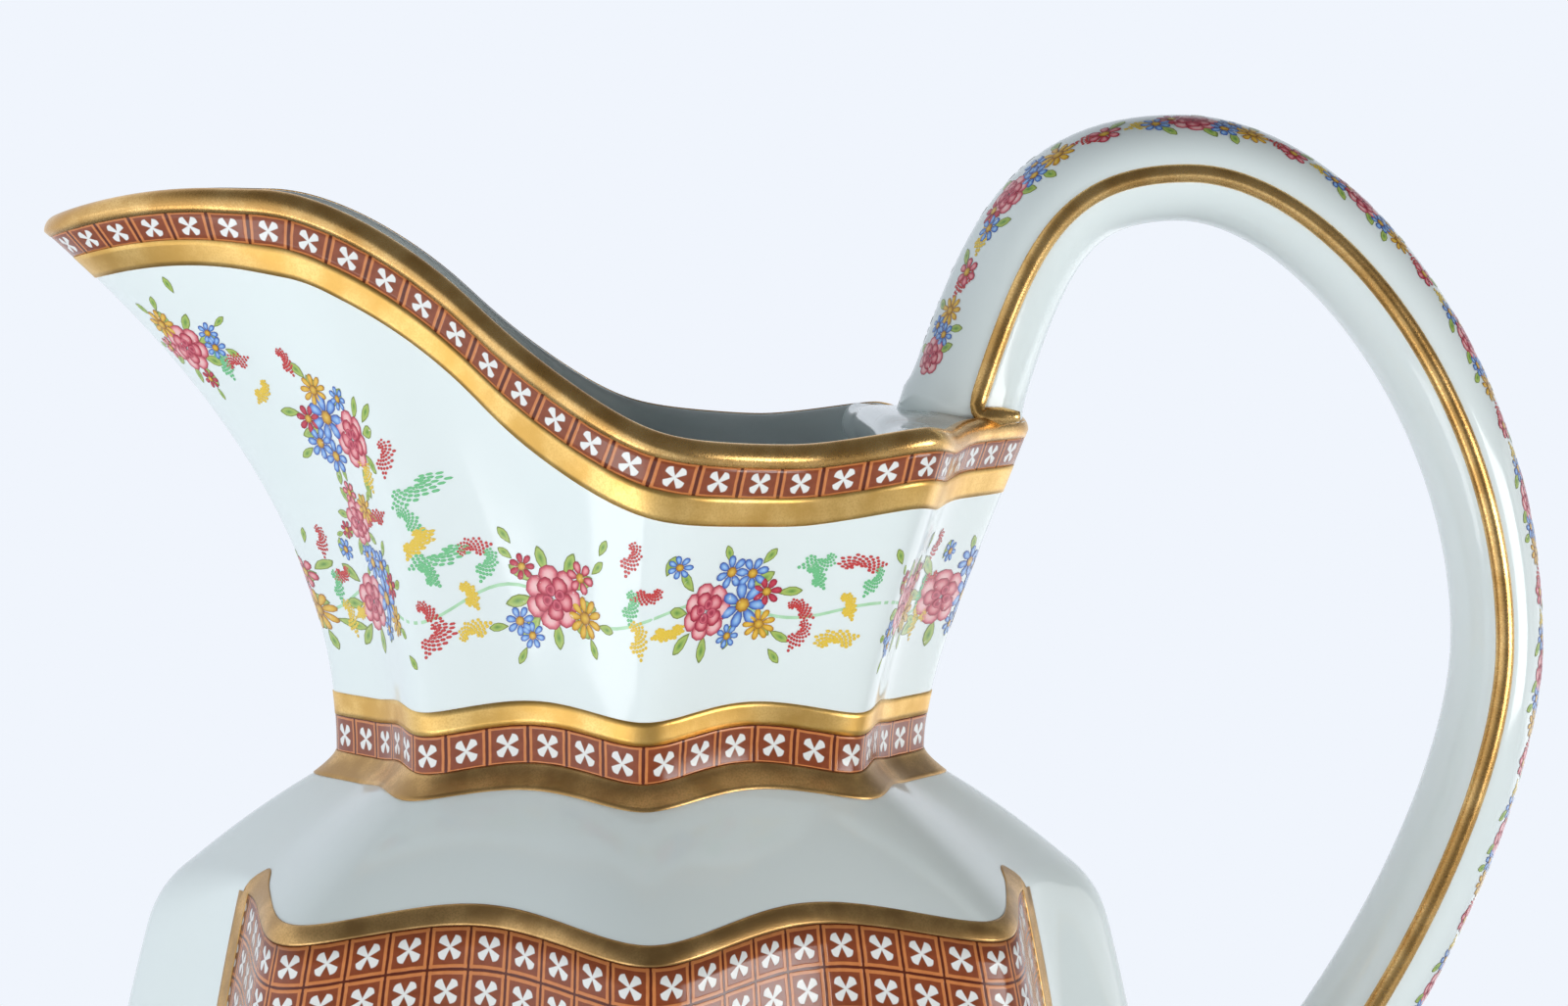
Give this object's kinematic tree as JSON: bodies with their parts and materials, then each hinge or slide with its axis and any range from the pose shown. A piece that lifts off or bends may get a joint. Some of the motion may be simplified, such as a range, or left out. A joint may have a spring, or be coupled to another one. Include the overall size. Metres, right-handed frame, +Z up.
{
  "type": "jug",
  "caption": "Tall porcelain jug with a ridged, fluted body, a helmet-shaped pouring spout, a high looped handle, gilt lines and check-pattern borders, for holding and pouring drinks.",
  "frame": {"origin": "on the surface that the foot ring stands on, under the middle of the whole jug from the tip of the spout to the back of the handle", "axes": "+Z up, +X towards the handle with the spout on -X, -Y the front face with one of the two check panels"},
  "size_m": [0.2246, 0.162, 0.2867],
  "materials": {
    "porcelain": "gloss",
    "gilding": "satin",
    "transfer": "gloss"
  },
  "bodies": {
    "root": {"foot_ring": "porcelain", "foot_gilding": "gilding", "vessel_body": "porcelain", "front_panel": "transfer", "front_panel_gilding": "gilding", "back_panel": "transfer", "back_panel_gilding": "gilding", "neck_spout": "porcelain", "neck_cove_gilding": "gilding", "neck_border": "transfer", "neck_upper_gilding": "gilding", "rim_lower_gilding": "gilding", "rim_border": "transfer", "rim_gilding": "gilding", "loop_handle": "porcelain", "handle_bead_front": "gilding", "handle_bead_back": "gilding"}
  },
  "joints": []
}
